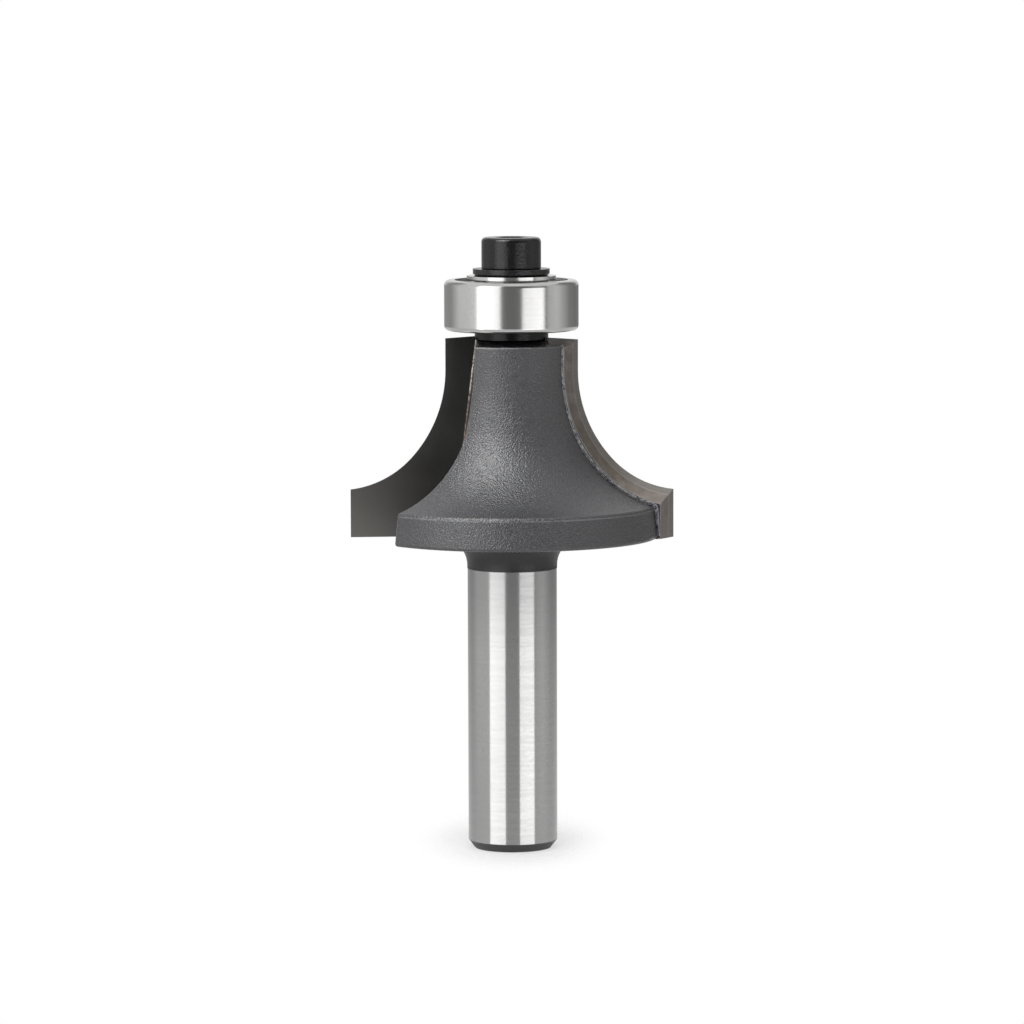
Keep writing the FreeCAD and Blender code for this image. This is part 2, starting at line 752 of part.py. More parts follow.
def make_all():
    """Every piece of the bit, in the order of assembly."""
    pieces = [make_cutter_body()]
    for name, side in (("right", 0), ("left", 180)):
        pieces.append(make_tip(f"carbide_tip_{name}", side))
        pieces.append(make_braze(f"braze_joint_{name}", side))
    pieces.append(make_spacer())
    pieces.append(make_inner_ring())
    pieces.append(make_outer_ring())
    for name, upside_down in (("upper", False), ("lower", True)):
        pieces.append(make_shield(f"bearing_shield_{name}", upside_down))
        pieces.append(make_cage_half(f"bearing_cage_{name}", upside_down))
    pieces.extend(make_balls())
    pieces.append(make_shim())
    pieces.append(make_washer())
    pieces.append(make_cap_screw())
    doc.recompute()
    return pieces


def check_objects():
    """Stop if any feature of the document failed."""
    for item in doc.Objects:
        if "Invalid" in item.State or "Error" in item.State:
            raise RuntimeError(f"{item.Label}: {item.State}")


def check_piece(piece):
    """Stop if a piece has no sound solid."""
    if piece.Shape.isNull() or not piece.Shape.isValid():
        raise RuntimeError(f"{piece.Label}: shape is null or not valid")
    if len(piece.Shape.Solids) != 1:
        raise RuntimeError(f"{piece.Label}: {len(piece.Shape.Solids)} solids")


fill_sheet()
all_pieces = make_all()
check_objects()
for piece in all_pieces:
    check_piece(piece)
os.makedirs("parts", exist_ok=True)
for piece in all_pieces:
    piece.Shape.exportStep(f"parts/{piece.Label}.step")
    box = piece.Shape.BoundBox
    print(f"{piece.Label}: {piece.Shape.Volume:.2f} mm3, z {box.ZMin:.2f} to {box.ZMax:.2f}")
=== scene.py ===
import math
import random

import bmesh
import bpy
from mathutils import Matrix, Vector


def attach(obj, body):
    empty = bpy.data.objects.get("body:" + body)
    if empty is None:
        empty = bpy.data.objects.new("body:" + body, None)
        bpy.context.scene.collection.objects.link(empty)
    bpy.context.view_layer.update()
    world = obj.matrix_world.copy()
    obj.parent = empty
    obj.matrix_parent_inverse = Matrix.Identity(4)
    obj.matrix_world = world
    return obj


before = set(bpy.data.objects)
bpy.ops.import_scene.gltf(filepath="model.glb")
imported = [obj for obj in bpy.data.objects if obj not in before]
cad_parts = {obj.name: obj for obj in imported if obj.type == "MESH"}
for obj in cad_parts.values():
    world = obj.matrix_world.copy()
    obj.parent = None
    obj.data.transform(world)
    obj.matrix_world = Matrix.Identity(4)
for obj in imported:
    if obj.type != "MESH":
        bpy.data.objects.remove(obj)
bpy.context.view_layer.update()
MM = 0.001

# Camera: where the photograph was taken from
CAMERA_PLACE = (0.0, -0.750, 0.12322)
CAMERA_PITCH = 84.278
CAMERA_ROLL = -0.18
CAMERA_NEAR = 0.01
CAMERA_FAR = 20.0
FOCAL_PIXELS = 5300
PICTURE_PIXELS = 1024
SENSOR_WIDTH = 36.0

# Soft boxes and lights: angles in degrees from the camera's side, sizes in metres
BOX_DISTANCE = 1.25
BOX_LOW = -0.4
LEFT_ANGLE = -39.7
LEFT_HALF_ANGLE = 21.3
LEFT_HIGH = 1.3
LEFT_RADIANCE = 1.72
RIGHT_ANGLE = 38.2
RIGHT_HALF_ANGLE = 19.8
RIGHT_HIGH = 0.05
RIGHT_RADIANCE = 1.62
BACK_ANGLE = 180.0
BACK_HALF_ANGLE = 30.0
BACK_HIGH = 0.6
BACK_RADIANCE = 1.0
KEY_DISTANCE = 1.1
KEY_ANGLE = -46.0
KEY_RISE = 56.0
KEY_SIZE = 0.6
KEY_RADIANCE = 8.4
TOP_DISTANCE = 1.1
TOP_RISE = 90.0
TOP_SIZE = 0.6
TOP_RADIANCE = 4.2
AMBIENT = 0.26

# Floor sheet
FLOOR_HALF = 0.6
FLOOR_SHARE = 0.45
FLOOR_LEVEL = 0.76
FLOOR_CENTRE = (0.0, 0.007, 0.0)
FLOOR_REACH = (0.0155, 0.034, 1.0)
FLOOR_CLEAR_FROM = 0.3
FLOOR_CLEAR_TO = 0.95

# Studio wall
WALL_RADIUS = 1.7
WALL_LOW = -1.5
WALL_HIGH = 1.7
WALL_PANELS = 96
# Its greys, each at an angle from the camera's side
WALL_TONES = [
    (-180, 0.34),
    (-168, 0.36),
    (-125, 0.42),
    (-101, 0.92),
    (-62, 0.95),
    (-20, 0.2),
    (20, 0.2),
    (62, 0.7),
    (85, 0.88),
    (116, 0.34),
    (141, 0.24),
    (168, 0.26),
    (180, 0.26),
]
# The lighter upper part behind the bit: angles, heights and grey
ABOVE_ANGLES = (140, 165)
ABOVE_HEIGHTS = (-0.02, 0.12)
ABOVE_TONE = 0.9
# The dark edge beside the right box: angles, heights and grey
BESIDE_ANGLES = (60, 64)
BESIDE_SOFT = 0.6
BESIDE_HEIGHTS = (-0.1, -0.07)
BESIDE_TONE = 0.08
# The light that the floor throws back up: heights and grey
BOUNCE_HEIGHTS = (-0.09, -0.3)
BOUNCE_TONE = 0.79

# Sizes of the bit that the looks follow, in metres
CHAMFER_TOP = 1.2 * MM
SHADE_AND_DULL_FROM = 27.0 * MM
SHANK_TOP = 40.1 * MM
FLANGE_BOTTOM = 44.5 * MM
# Height of the painted highlight line on the flange's corner
HIGHLIGHT_LINE_HEIGHT = 48.72 * MM
RIDGE_RADIUS = 20.4 * MM
CORE_RIM = 72.05 * MM
HOOK = math.radians(5.0)
RAKE_OFFSET = 2.3 * MM
LAND_DEPTH = 1.2 * MM
TIP_THICKNESS = 3.0 * MM
SEAT_DEPTH = 3.15 * MM
TIP_STEP = 49.4 * MM
BALL_COUNT = 8

# Heights of the fine relief, in metres
PEBBLE_RELIEF = 0.092 * MM
GRINDING_RELIEF = 0.0028 * MM
RING_RELIEF = 0.001 * MM
PLAIN_RELIEF = 0.0015 * MM
OXIDE_LINE_RELIEF = 0.004 * MM
OXIDE_PIT_RELIEF = 0.045 * MM
CARBIDE_RELIEF = 0.004 * MM
BRAZE_RELIEF = 0.03 * MM

# Colours of the body
STEEL_DARK = (0.375, 0.373, 0.371)
STEEL_LIGHT = (0.435, 0.432, 0.43)
STEEL_SCORED = (0.3, 0.297, 0.295)
STEEL_SATIN = (0.385, 0.382, 0.38)
# Painted shade under the flange, laid on the shank's steel near the neck
STEEL_SHADE_UNDER_FLANGE = (0.2, 0.2, 0.2)
COAT_DARK = (0.036, 0.0362, 0.0398)
COAT_LIGHT = (0.048, 0.0482, 0.0528)
COAT_PITS = (0.014, 0.014, 0.016)
COAT_FLECKS = (0.16, 0.16, 0.17)
# Painted highlight, partly rubbed wear, on the coat's edges
COAT_WEAR_AND_HIGHLIGHT = (0.3, 0.3, 0.31)
COAT_CHAMFER = (0.005, 0.005, 0.006)
# Painted shade on the core's top under the collar and bearing
COAT_SHADE_UNDER_COLLAR = (0.006, 0.006, 0.007)
COAT_NECK = (0.026, 0.026, 0.028)

# Grain of the body, in features per metre
SHANK_LINES = (3000.0, 1000.0, 240.0)
STEEL_CLOUD = (160.0, 160.0, 30.0)
STEEL_SPECKLE = (2000.0, 2000.0, 3000.0)
COAT_GRAIN = 4200.0
COAT_SAND = 4300.0
COAT_CLOUD = 160.0
COAT_FLECK = 3600.0
COAT_WEAR = 600.0
COAT_SCATTER = 3300.0
BORDER_WANDER = 900.0

# Where a noise of the body turns into a mark, and its roughness, from the first value to the second
SCORED_RANGE = (0.4, 0.62)
SATIN_RANGE = (0.42, 0.7)
FLECK_RANGE = (0.6, 0.7)
WEAR_RANGE = (0.25, 0.55)
STEEL_ROUGH = (0.14, 0.18)
DULL_ROUGH_RISE = 0.06
COAT_ROUGH = (0.22, 0.37)
SMOOTH_ROUGH_RISE = 0.14
NECK_METAL = 0.6

# Borders on the body, in metres; a band is its foot, its top and how soft its ends are
WANDER_REACH = 0.12 * MM
SHANK_BAND = (CHAMFER_TOP + 0.06 * MM, SHANK_TOP + 0.06 * MM, 0.03 * MM)
SMOOTH_BAND = (-1.0 * MM, FLANGE_BOTTOM - 0.2 * MM, 0.15 * MM)
NECK_BAND = (SHANK_TOP, FLANGE_BOTTOM - 0.2 * MM, 0.15 * MM)
# The rim band carries a painted highlight along the core's top edge
RIM_HIGHLIGHT_BAND = (CORE_RIM - 0.2 * MM, CORE_RIM - 0.05 * MM, 0.06 * MM)
PEBBLE_HEIGHTS = (FLANGE_BOTTOM - 0.3 * MM, FLANGE_BOTTOM + 0.1 * MM)
COLLAR_SHADE_HEIGHTS = (CORE_RIM, CORE_RIM + 0.08 * MM)
HIGHLIGHT_LINE_HALF_WIDTH = 0.1 * MM
BODY_EDGE = 0.25 * MM

# Colours of the other steel
RING_TONE = (0.545, 0.542, 0.536)
SHIM_TONE = (0.6, 0.596, 0.59)
RING_SCORED = 0.35
# Painted highlight on the rings' corners
RING_EDGE_HIGHLIGHT = 0.82
OXIDE_SPECKS = 0.09
OXIDE_RUBBED = 0.13

# Grain of the other steel, in features per metre, with its ranges and edges
LONG_STREAKS = 12.0
RING_LINES = (12000.0, 2500.0)
RING_CLOUD = (260.0, 260.0, 90.0)
RING_SPECKLE = (2400.0, 2400.0, 3400.0)
RING_SPECKLE_RANGE = (0.45, 0.75)
RING_ROUGH = (0.1, 0.2)
RING_CORNER = 0.12 * MM
PLAIN_CLOUD = 700.0
PLAIN_HAZE = 3000.0
PLAIN_SCRATCHES = 5000.0
PLAIN_ROUGH_SPREAD = 0.12
OXIDE_LINES = (7000.0, 1500.0)
OXIDE_CLOUD = 420.0
OXIDE_SPECK = 3800.0
OXIDE_SPECK_RANGE = (0.63, 0.75)
OXIDE_RUB = 1800.0
OXIDE_RUB_RANGE = (0.35, 0.6)
OXIDE_PITS = 3000.0
OXIDE_HAZE = 2600.0
OXIDE_ROUGH = (0.15, 0.28)
OXIDE_CORNER = 0.2 * MM

# Colours of the carbide
RELIEF_STOPS = [
    (0.24, (0.15, 0.122, 0.09)),
    (0.5, (0.25, 0.212, 0.178)),
    (0.76, (0.38, 0.34, 0.31)),
]
RELIEF_OLIVE = (0.135, 0.115, 0.078)
RELIEF_ROSY = (0.35, 0.305, 0.285)
RELIEF_LAND = (0.3, 0.285, 0.27)
RELIEF_MARKS = (0.08, 0.068, 0.06)
RELIEF_FACET = (0.5, 0.49, 0.47)
# Painted highlight along the back edge of the tip, at the seat
RELIEF_HEEL_HIGHLIGHT = (0.6, 0.59, 0.58)
TIP_BACK = (0.035, 0.033, 0.036)
RAKE_DARK = (0.017, 0.0164, 0.0155)
RAKE_LIGHT = (0.028, 0.0272, 0.0255)
# Painted shade on the rake face beside the core
RAKE_PAINTED_SHADE = (0.005, 0.005, 0.0045)
# Painted reflection of the pale floor at the rake face's low outer corner
RAKE_PAINTED_REFLECTION = (0.138, 0.131, 0.121)
CARBIDE_SPECKS = 0.025
# Painted highlight on the carbide's edges
CARBIDE_EDGE_HIGHLIGHT = 0.4

# Grain of the carbide, in features per metre, with its ranges
CARBIDE_SPECKLE = 4200.0
CARBIDE_MARKS = (700.0, 160.0, 5200.0)
CARBIDE_UPRIGHT = (5200.0, 5200.0, 90.0)
RELIEF_CLOUD = 620.0
RAKE_CLOUD = 330.0
CARBIDE_METAL = (0.45, 0.25)
CARBIDE_ROUGH = (0.26, 0.42)
CARBIDE_CORNER = 0.08 * MM
HEEL_CORNER = 0.3 * MM

# Zones of the carbide, in metres: up the bit, behind the rake face, and outward along it
OLIVE_BAND = (53.0 * MM, 62.0 * MM, 3.5 * MM)
ROSY_HEIGHTS = (53.0 * MM, 50.0 * MM)
RAKE_DEPTHS = (0.03 * MM, 0.01 * MM)
LAND_DEPTHS = (LAND_DEPTH, LAND_DEPTH - 0.12 * MM)
FACET_BAND = (LAND_DEPTH - 0.08 * MM, LAND_DEPTH + 0.04 * MM, 0.04 * MM)
HEEL_DEPTHS = (TIP_THICKNESS - 0.2 * MM, TIP_THICKNESS - 0.1 * MM)
BACK_DEPTHS = (TIP_THICKNESS - 0.04 * MM, TIP_THICKNESS - 0.01 * MM)
INNER_OUTWARD = (10.0 * MM, 7.0 * MM)
INNER_HEIGHTS = (56.0 * MM, 63.0 * MM)
LOW_OUTWARD = (9.0 * MM, 23.0 * MM)
LOW_HEIGHTS = (62.0 * MM, 45.0 * MM)

# Heat tints of the braze along a noise
GREY_BRAZE = [
    (0.34, (0.03, 0.03, 0.035)),
    (0.42, (0.17, 0.18, 0.2)),
    (0.50, (0.36, 0.37, 0.38)),
    (0.57, (0.22, 0.19, 0.17)),
    (0.66, (0.46, 0.46, 0.45)),
]
VIOLET_BRAZE = [
    (0.34, (0.03, 0.028, 0.04)),
    (0.42, (0.17, 0.14, 0.21)),
    (0.50, (0.32, 0.31, 0.36)),
    (0.57, (0.15, 0.12, 0.13)),
    (0.66, (0.42, 0.4, 0.4)),
]
STRAW_BRAZE = [
    (0.34, (0.07, 0.055, 0.045)),
    (0.44, (0.26, 0.22, 0.18)),
    (0.54, (0.42, 0.38, 0.33)),
    (0.68, (0.56, 0.53, 0.47)),
]
BROWN_BRAZE = [
    (0.34, (0.035, 0.025, 0.02)),
    (0.50, (0.13, 0.085, 0.065)),
    (0.68, (0.27, 0.2, 0.16)),
]
BRAZE_SEAM = (0.02, 0.019, 0.026)

# Grain of the braze, in features per metre, with its ranges and the heights where its tints turn
BRAZE_TINTS = 2700.0
BRAZE_BREAKS = 1500.0
BREAK_RANGE = (0.36, 0.5)
SEAM_BAND = (0.7, 1.3, 0.2)
SEAM_DARKNESS = 0.85
BRAZE_HAZE = 3500.0
BRAZE_LUMPS = 2600.0
BRAZE_METAL = (0.2, 0.7)
BRAZE_ROUGH = (0.3, 0.5)
VIOLET_TURN = (TIP_STEP + 0.4 * MM, TIP_STEP - 0.4 * MM)
BROWN_TURN = (68.0 * MM, 62.0 * MM)

# Beads of braze: rows of height, shift towards the outside and half the width, highest first
BACK_BEAD = [
    (72.0 * MM, 0.17 * MM, 0.21 * MM),
    (56.0 * MM, 0.2 * MM, 0.24 * MM),
    (50.0 * MM, 0.22 * MM, 0.25 * MM),
    (48.8 * MM, 0.34 * MM, 0.36 * MM),
    (FLANGE_BOTTOM, 0.18 * MM, 0.28 * MM),
]
INNER_BEAD = [
    (73.0 * MM, -0.13 * MM, 0.23 * MM),
    (56.0 * MM, -0.16 * MM, 0.24 * MM),
]
BACK_BEAD_DEPTH = TIP_THICKNESS + 0.12 * MM
INNER_BEAD_DEPTH = -0.06 * MM
BEAD_STEP = 0.2 * MM
BEAD_EVENING = 3
BEAD_SIDES = 8
BEAD_FLATNESS = 0.6
BEAD_LEAST = 0.88
BEAD_SPREAD = 0.24
TOUCH = 0.01 * MM


# Node helpers

def grey(value):
    """A colour of one level."""
    return (value, value, value)


def feed(tree, value, socket):
    """Link a socket's value, or set it where it is a plain number or colour."""
    if isinstance(value, bpy.types.NodeSocket):
        tree.links.new(value, socket)
    else:
        socket.default_value = value


def node(tree, kind, inputs=None, **settings):
    """A node with its settings and inputs filled in."""
    made = tree.nodes.new(kind)
    for name, value in settings.items():
        setattr(made, name, value)
    for key, value in (inputs or {}).items():
        feed(tree, value, made.inputs[key])
    return made


def calc(tree, operation, first, second=0.0):
    """One arithmetic step on two values."""
    return node(tree, "ShaderNodeMath", {0: first, 1: second}, operation=operation).outputs[0]


def times(tree, first, second):
    """The product of two values."""
    return calc(tree, "MULTIPLY", first, second)


def plus(tree, first, second):
    """The sum of two values."""
    return calc(tree, "ADD", first, second)


def largest(tree, first, second):
    """The larger of two values."""
    return calc(tree, "MAXIMUM", first, second)


def rest_of(tree, share):
    """What a share leaves of 1."""
    return calc(tree, "SUBTRACT", 1.0, share)


def smooth_step(tree, value, low, high):
    """0 below low, 1 above high and a smooth rise between; low may be the larger."""
    made = node(tree, "ShaderNodeMapRange", {"Value": value, "From Min": low, "From Max": high},
                interpolation_type="SMOOTHSTEP")
    return made.outputs["Result"]


def band(tree, value, low, high, soft):
    """1 between low and high, with soft edges."""
    up = smooth_step(tree, value, low - soft, low + soft)
    down = smooth_step(tree, value, high + soft, high - soft)
    return times(tree, up, down)


def between(tree, share, low, high):
    """A number that runs from low to high with a share."""
    made = node(tree, "ShaderNodeMapRange", {"Value": share, "To Min": low, "To Max": high})
    return made.outputs["Result"]


def object_place(tree):
    """Position on the piece, in metres, in the frame of the bit."""
    return node(tree, "ShaderNodeTexCoord").outputs["Object"]


def parts_of(tree, place):
    """The three outputs X, Y and Z of a position."""
    return node(tree, "ShaderNodeSeparateXYZ", {0: place}).outputs


def turned(tree, place, angle):
    """A position turned about the axis."""
    return node(tree, "ShaderNodeMapping", {"Vector": place, "Rotation": (0.0, 0.0, angle)}).outputs[0]


def stretched(tree, place, scale):
    """A position scaled along each direction."""
    return node(tree, "ShaderNodeVectorMath", {0: place, 1: scale}, operation="MULTIPLY").outputs[0]


def noise(tree, place, scale, detail=3.0, roughness=0.55):
    """Fractal noise from 0 to 1 about 0.5; the scale is in features per metre."""
    made = node(tree, "ShaderNodeTexNoise",
                {"Vector": place, "Scale": scale, "Detail": detail, "Roughness": roughness})
    return made.outputs["Fac"]


def streaks(tree, place, scales, detail=2.0):
    """Noise with its own number of features per metre along each direction."""
    return noise(tree, stretched(tree, place, scales), 1.0, detail)


def cells(tree, place, scale):
    """Rounded grains: the smooth distance to the nearest of many points."""
    made = node(tree, "ShaderNodeTexVoronoi", {"Vector": place, "Scale": scale, "Smoothness": 0.6},
                feature="SMOOTH_F1")
    return made.outputs["Distance"]


def ramp(tree, value, stops):
    """Colours along a value; each stop is (place, (r, g, b))."""
    made = node(tree, "ShaderNodeValToRGB", {"Fac": value})
    elements = made.color_ramp.elements
    while len(elements) < len(stops):
        elements.new(0.5)
    for element, (place, colour) in zip(elements, stops):
        element.position = place
        element.color = (*colour, 1.0)
    return made.outputs["Color"]


def clouded(tree, cloud, dark, light):
    """A colour that drifts between two with a noise."""
    return ramp(tree, cloud, [(0.3, dark), (0.7, light)])


def blend(tree, share, first, second):
    """Mix two colours by a share."""
    made = node(tree, "ShaderNodeMix", data_type="RGBA")
    feed(tree, share, made.inputs["Factor"])
    for key, colour in (("A", first), ("B", second)):
        plain = isinstance(colour, tuple)
        feed(tree, (*colour, 1.0) if plain else colour, made.inputs[key])
    return made.outputs["Result"]


def tint(tree, colour, share, over, amount):
    """Lay a second colour over the first, by an amount of a share."""
    return blend(tree, times(tree, share, amount), colour, over)


def bumped(tree, height, distance=1.0):
    """A normal bent by a height; distance is how far the height 1 stands out, in metres."""
    made = node(tree, "ShaderNodeBump", {"Height": height, "Distance": distance, "Strength": 1.0})
    return made.outputs["Normal"]


def round_the_axis(tree):
    """The direction of marks left by turning or grinding."""
    return node(tree, "ShaderNodeTangent", direction_type="RADIAL", axis="Z").outputs[0]


def new_material(name, **sockets):
    """A material with one principled shader; the sockets are its uniform values."""
    material = bpy.data.materials.new(name)
    material.use_nodes = True
    tree = material.node_tree
    shader = tree.nodes["Principled BSDF"]
    for key, value in sockets.items():
        shader.inputs[key.replace("_", " ")].default_value = value
    return material, tree, shader


def wire(tree, shader, **sockets):
    """Link values to the shader; an underscore stands for a space in a socket's name."""
    for key, value in sockets.items():
        tree.links.new(value, shader.inputs[key.replace("_", " ")])


def bare_material(name):
    """A material with an empty node tree."""
    material = bpy.data.materials.new(name)
    material.use_nodes = True
    material.node_tree.nodes.clear()
    return material, material.node_tree


def edge_share(tree, radius, low=0.02, high=0.25):
    """1 on sharp edges within a radius, 0 on open faces."""
    rounded = node(tree, "ShaderNodeBevel", {"Radius": radius}, samples=6)
    flat = node(tree, "ShaderNodeNewGeometry")
    match = node(tree, "ShaderNodeVectorMath", {0: rounded.outputs[0], 1: flat.outputs["Normal"]},
                 operation="DOT_PRODUCT")
    return smooth_step(tree, rest_of(tree, match.outputs["Value"]), low, high)


# Materials of the body

def turned_lines(tree, place, fine, coarse, broken=30.0):
    """Grinding lines that run round the axis; a larger value of broken makes the fine ones shorter."""
    thin = streaks(tree, place, (broken, broken, fine))
    wide = streaks(tree, place, (LONG_STREAKS, LONG_STREAKS, coarse))
    return times(tree, plus(tree, thin, wide), 0.5)


def highlight_line(tree, height, radius, wide):
    """1 along the flange's turned corner, where a painted highlight line lies."""
    level = band(tree, height, HIGHLIGHT_LINE_HEIGHT - wide, HIGHLIGHT_LINE_HEIGHT + wide, 0.6 * wide)
    outside = smooth_step(tree, radius, RIDGE_RADIUS - 3.0 * wide, RIDGE_RADIUS - 1.5 * wide)
    return times(tree, level, outside)


def wear_and_highlight_share(tree, place, height):
    """1 where the coat is lightened: painted highlight lines along the flange's corner and the core's rim,
    and rubbed wear with painted highlight on other sharp edges.
    """
    flat = stretched(tree, place, (1.0, 1.0, 0.0))
    radius = node(tree, "ShaderNodeVectorMath", {0: flat}, operation="LENGTH").outputs["Value"]
    ridge = highlight_line(tree, height, radius, HIGHLIGHT_LINE_HALF_WIDTH)
    rim = band(tree, height, *RIM_HIGHLIGHT_BAND)
    edges = largest(tree, largest(tree, ridge, rim), edge_share(tree, BODY_EDGE))
    return times(tree, edges, smooth_step(tree, noise(tree, place, COAT_WEAR), *WEAR_RANGE))


def shank_steel(tree, place, height, lines):
    """Colour and roughness of the ground shank: rougher towards the neck, with painted shade that darkens it
    under the flange.
    """
    colour = clouded(tree, streaks(tree, place, STEEL_CLOUD, 3.0), STEEL_DARK, STEEL_LIGHT)
    scored = smooth_step(tree, lines, *SCORED_RANGE)
    colour = tint(tree, colour, scored, STEEL_SCORED, amount=0.16)
    satin = smooth_step(tree, streaks(tree, place, STEEL_SPECKLE), *SATIN_RANGE)
    colour = blend(tree, satin, colour, STEEL_SATIN)
    # Painted shade: the steel darkens towards the flange that overhangs it, and grows rougher there too
    shade_near_neck = smooth_step(tree, height, SHADE_AND_DULL_FROM, SHANK_TOP)
    colour = tint(tree, colour, shade_near_neck, STEEL_SHADE_UNDER_FLANGE, amount=0.35)
    rough = plus(tree, between(tree, scored, *STEEL_ROUGH), times(tree, shade_near_neck, DULL_ROUGH_RISE))
    return colour, rough


def head_coat(tree, place, height, grain, smooth, neck):
    """Colour of the dark coat: slow clouds, pale flecks, rubbed edges with painted highlight lines, and
    painted shade under the collar; plainer below the head.
    """
    colour = clouded(tree, noise(tree, place, COAT_CLOUD, 4.0), COAT_DARK, COAT_LIGHT)
    colour = blend(tree, between(tree, grain, 0.0, 0.6), colour, COAT_PITS)
    flecks = smooth_step(tree, noise(tree, place, COAT_FLECK, 2.0), *FLECK_RANGE)
    colour = tint(tree, colour, flecks, COAT_FLECKS, amount=0.35)
    # Painted highlight lines and rubbed wear, both lighter
    colour = tint(tree, colour, wear_and_highlight_share(tree, place, height), COAT_WEAR_AND_HIGHLIGHT, amount=0.4)
    colour = tint(tree, colour, smooth, COAT_CHAMFER, amount=0.9)
    # Painted shade: the core's top under the collar is darkened
    colour = blend(tree, smooth_step(tree, height, *COLLAR_SHADE_HEIGHTS), colour, COAT_SHADE_UNDER_COLLAR)
    return blend(tree, neck, colour, COAT_NECK)


def body_relief(tree, height, lines, grain, sand, shank_share):
    """Normal of the body: pebbles on the head and fine lines round the shank."""
    pebble = calc(tree, "SUBTRACT", sand, times(tree, grain, 0.6))
    head_share = smooth_step(tree, height, *PEBBLE_HEIGHTS)
    coat_height = times(tree, times(tree, head_share, pebble), PEBBLE_RELIEF)
    line_height = times(tree, times(tree, lines, shank_share), GRINDING_RELIEF)
    return bumped(tree, plus(tree, coat_height, line_height))


def body_tangent(tree, place, shank_share):
    """Round the axis on the shank, and scattered from grain to grain on the coat."""
    scatter = node(tree, "ShaderNodeTexNoise", {"Vector": place, "Scale": COAT_SCATTER, "Detail": 1.0})
    centred = node(tree, "ShaderNodeVectorMath", {0: scatter.outputs["Color"], 1: grey(0.5)},
                   operation="SUBTRACT")
    return blend(tree, shank_share, centred.outputs[0], round_the_axis(tree))


def make_body_material():
    """Ground shank, dark coat on the head, neck and chamfer."""
    material, tree, shader = new_material("cutter_body_steel", Anisotropic=0.7, Specular_IOR_Level=0.85,
                                          Anisotropic_Rotation=0.25)
    place = object_place(tree)
    height = parts_of(tree, place)["Z"]
    lines = turned_lines(tree, place, *SHANK_LINES)
    grain = cells(tree, place, COAT_GRAIN)
    sand = noise(tree, place, COAT_SAND, 2.0, 0.6)
    wander = times(tree, noise(tree, place, BORDER_WANDER, 2.0), WANDER_REACH)
    shank_share = band(tree, plus(tree, height, wander), *SHANK_BAND)
    smooth = band(tree, height, *SMOOTH_BAND)
    neck = band(tree, height, *NECK_BAND)
    steel, steel_rough = shank_steel(tree, place, height, lines)
    coat = head_coat(tree, place, height, grain, smooth, neck)
    coat_rough = plus(tree, between(tree, sand, *COAT_ROUGH), times(tree, smooth, SMOOTH_ROUGH_RISE))
    rough = plus(tree, times(tree, shank_share, steel_rough),
                 times(tree, rest_of(tree, shank_share), coat_rough))
    wire(tree, shader,
         Base_Color=blend(tree, shank_share, coat, steel),
         Metallic=largest(tree, shank_share, times(tree, neck, NECK_METAL)),
         Roughness=rough,
         Normal=body_relief(tree, height, lines, grain, sand, shank_share),
         Tangent=body_tangent(tree, place, shank_share))
    return material


# Materials of the bearing and the screw

def make_ring_material(name, tone=RING_TONE):
    """Bright steel turned or ground round the axis."""
    material, tree, shader = new_material(name, Metallic=1.0, Anisotropic=0.55)
    place = object_place(tree)
    lines = turned_lines(tree, place, *RING_LINES)
    cloud = streaks(tree, place, RING_CLOUD, 3.0)
    colour = clouded(tree, cloud, tuple(0.86 * part for part in tone), tone)
    colour = blend(tree, between(tree, lines, 0.0, 0.2), colour, grey(RING_SCORED))
    speckle = smooth_step(tree, streaks(tree, place, RING_SPECKLE), *RING_SPECKLE_RANGE)
    colour = blend(tree, speckle, colour, tuple(0.87 * part for part in tone))
    # Painted highlight: the corners are lightened
    colour = tint(tree, colour, edge_share(tree, RING_CORNER), grey(RING_EDGE_HIGHLIGHT), amount=0.15)
    wire(tree, shader,
         Base_Color=colour,
         Roughness=between(tree, lines, *RING_ROUGH),
         Normal=bumped(tree, lines, RING_RELIEF),
         Tangent=round_the_axis(tree))
    return material


def make_plain_steel(name, tone, rough):
    """Sheet or ball steel with faint clouds and scratches."""
    material, tree, shader = new_material(name, Metallic=1.0)
    place = object_place(tree)
    wire(tree, shader,
         Base_Color=clouded(tree, noise(tree, place, PLAIN_CLOUD, 4.0), grey(tone * 0.85), grey(tone)),
         Roughness=between(tree, noise(tree, place, PLAIN_HAZE), rough, rough + PLAIN_ROUGH_SPREAD),
         Normal=bumped(tree, noise(tree, place, PLAIN_SCRATCHES), PLAIN_RELIEF))
    return material


def make_black_oxide(name, tone=0.0025, shine=0.5):
    """Black-oxide steel: near black, satin, with fine specks and rubbed edges."""
    material, tree, shader = new_material(name, IOR=1.42, Specular_IOR_Level=shine)
    place = object_place(tree)
    cloud = noise(tree, place, OXIDE_CLOUD, 4.0)
    colour = clouded(tree, cloud, grey(tone * 0.75), grey(tone * 1.25))
    specks = smooth_step(tree, noise(tree, place, OXIDE_SPECK, 2.0), *OXIDE_SPECK_RANGE)
    colour = tint(tree, colour, specks, grey(OXIDE_SPECKS), amount=0.3)
    rubbed = times(tree, edge_share(tree, OXIDE_CORNER, 0.01, 0.2),
                   smooth_step(tree, noise(tree, place, OXIDE_RUB), *OXIDE_RUB_RANGE))
    colour = tint(tree, colour, rubbed, grey(OXIDE_RUBBED), amount=0.35)
    lines = turned_lines(tree, place, *OXIDE_LINES)
    pits = noise(tree, place, OXIDE_PITS, 2.0)
    relief = plus(tree, times(tree, lines, OXIDE_LINE_RELIEF), times(tree, pits, OXIDE_PIT_RELIEF))
    wire(tree, shader,
         Base_Color=colour,
         Roughness=between(tree, noise(tree, place, OXIDE_HAZE), *OXIDE_ROUGH),
         Normal=bumped(tree, relief))
    return material


# Materials of the tips

